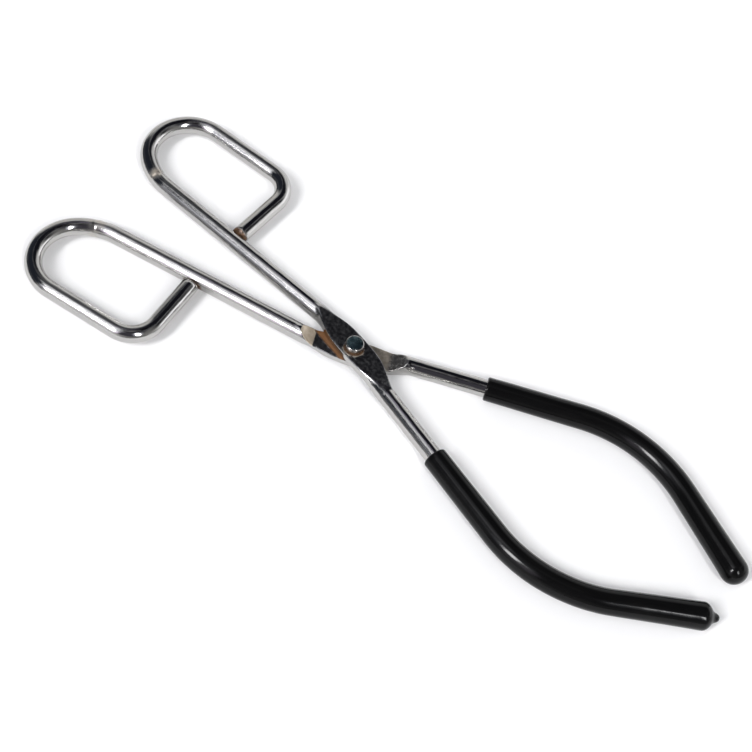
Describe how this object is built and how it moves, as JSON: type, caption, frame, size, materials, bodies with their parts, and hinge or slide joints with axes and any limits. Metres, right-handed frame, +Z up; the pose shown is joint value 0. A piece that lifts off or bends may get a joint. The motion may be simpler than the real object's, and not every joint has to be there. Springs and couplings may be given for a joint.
{
  "type": "crucible tongs",
  "caption": "Riveted wire tongs with closed finger loops and bowed jaws in dipped vinyl coatings, for lifting hot crucibles, beakers and flasks.",
  "frame": {"origin": "on the rivet's axis at the underside of its lower head, the plane the tongs lie on", "axes": "+X along the tongs towards the jaws, +Y towards the upper arm's finger loop, +Z up along the rivet"},
  "size_m": [0.2537, 0.0946, 0.0098],
  "materials": {
    "plated_rod": "bright plating, tarnished at the bends and the weld",
    "rivet_steel": "plated steel, upset head, dulled",
    "vinyl": "glossy dipped vinyl"
  },
  "bodies": {
    "upper_half": {"upper_arm": "plated_rod", "pivot_rivet": "rivet_steel", "upper_coating": "vinyl"},
    "lower_half": {"lower_arm": "plated_rod", "lower_coating": "vinyl"}
  },
  "joints": [
    {"name": "pivot", "type": "hinge", "parent": "upper_half", "child": "lower_half", "pos_m": [0, 0, 0.0047], "axis": [0, 0, 1], "range_deg": [-4.4, 112]}
  ]
}
